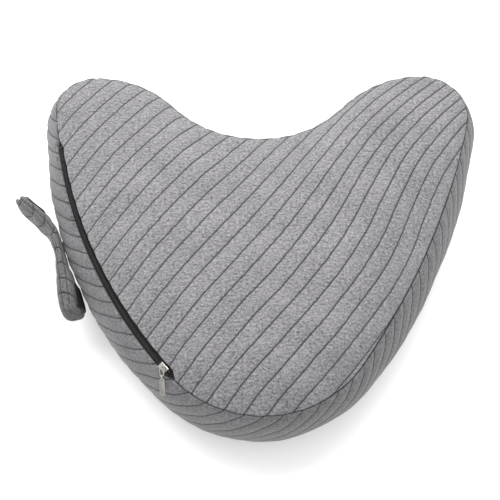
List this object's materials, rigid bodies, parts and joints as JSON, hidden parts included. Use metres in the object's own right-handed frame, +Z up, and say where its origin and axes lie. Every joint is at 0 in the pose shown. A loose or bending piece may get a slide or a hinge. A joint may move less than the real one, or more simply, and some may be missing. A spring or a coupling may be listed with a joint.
{
  "type": "nursing pillow",
  "caption": "Boomerang-shaped stuffed feeding pillow in a quilted jersey cover with a zip along one side and a padded strap on the band.",
  "frame": {"origin": "on the floor, on the flat rest face of the bottom panel, between the lobes and the front", "axes": "+Z up out of the top panel, +Y towards the waist recess, +X towards the lobe without the strap"},
  "size_m": [0.5661, 0.447, 0.17],
  "materials": {
    "jersey_grey": "heathered quilted knit, matte",
    "liner_white": "plain woven, matte",
    "fibre_white": "loose fibre, matte",
    "tape_black": "woven tape, matte",
    "coil_black": "satin",
    "nickel": "nickel plated, satin",
    "hook_black": "hook and loop pile, matte"
  },
  "bodies": {
    "pillow": {"cover_top_panel": "jersey_grey", "cover_bottom_panel": "jersey_grey", "cover_outer_band": "jersey_grey", "cover_recess_band": "jersey_grey", "liner_top_panel": "liner_white", "liner_bottom_panel": "liner_white", "liner_band": "liner_white", "fibre_fill": "fibre_white", "zip_tape_upper": "tape_black", "zip_tape_lower": "tape_black", "zip_coil_upper": "coil_black", "zip_coil_lower": "coil_black", "zip_top_stop_upper": "coil_black", "zip_top_stop_lower": "coil_black", "zip_bottom_stop": "coil_black", "strap_root": "jersey_grey"},
    "zip_slider": {"zip_slider_body": "nickel", "zip_slider_bridge": "nickel"},
    "pull_link": {"zip_pull_link": "nickel"},
    "pull_tab": {"zip_pull_tab": "nickel"},
    "strap_upper": {"strap_upper_outer": "jersey_grey", "strap_upper_inner": "jersey_grey", "strap_upper_wadding": "fibre_white", "strap_upper_loop_patch": "hook_black"},
    "strap_lower": {"strap_lower_outer": "jersey_grey", "strap_lower_inner": "jersey_grey", "strap_lower_wadding": "fibre_white", "strap_lower_hook_patch": "hook_black"}
  },
  "joints": [
    {"name": "zip_travel", "type": "hinge", "parent": "pillow", "child": "zip_slider", "pos_m": [0.32298, 0.21276, 0.135], "axis": [0, 0, -1], "range_deg": [0, 29.6]},
    {"name": "pull_link_flip", "type": "hinge", "parent": "zip_slider", "child": "pull_link", "pos_m": [-0.11093, -0.14971, 0.13567], "axis": [-0.9085, 0.1625, -0.3851], "range_deg": [0, 120]},
    {"name": "pull_tab_flip", "type": "hinge", "parent": "pull_link", "child": "pull_tab", "pos_m": [-0.11094, -0.15765, 0.13236], "axis": [-0.9085, 0.1625, -0.3851], "range_deg": [0, 70]},
    {"name": "strap_upper_swing", "type": "hinge", "parent": "pillow", "child": "strap_upper", "pos_m": [-0.2409, 0.03263, 0.08], "axis": [0, 0, 1], "range_deg": [-20, 35]},
    {"name": "strap_lower_swing", "type": "hinge", "parent": "pillow", "child": "strap_lower", "pos_m": [-0.23615, 0.0184, 0.08], "axis": [0, 0, -1], "range_deg": [0, 35]}
  ]
}
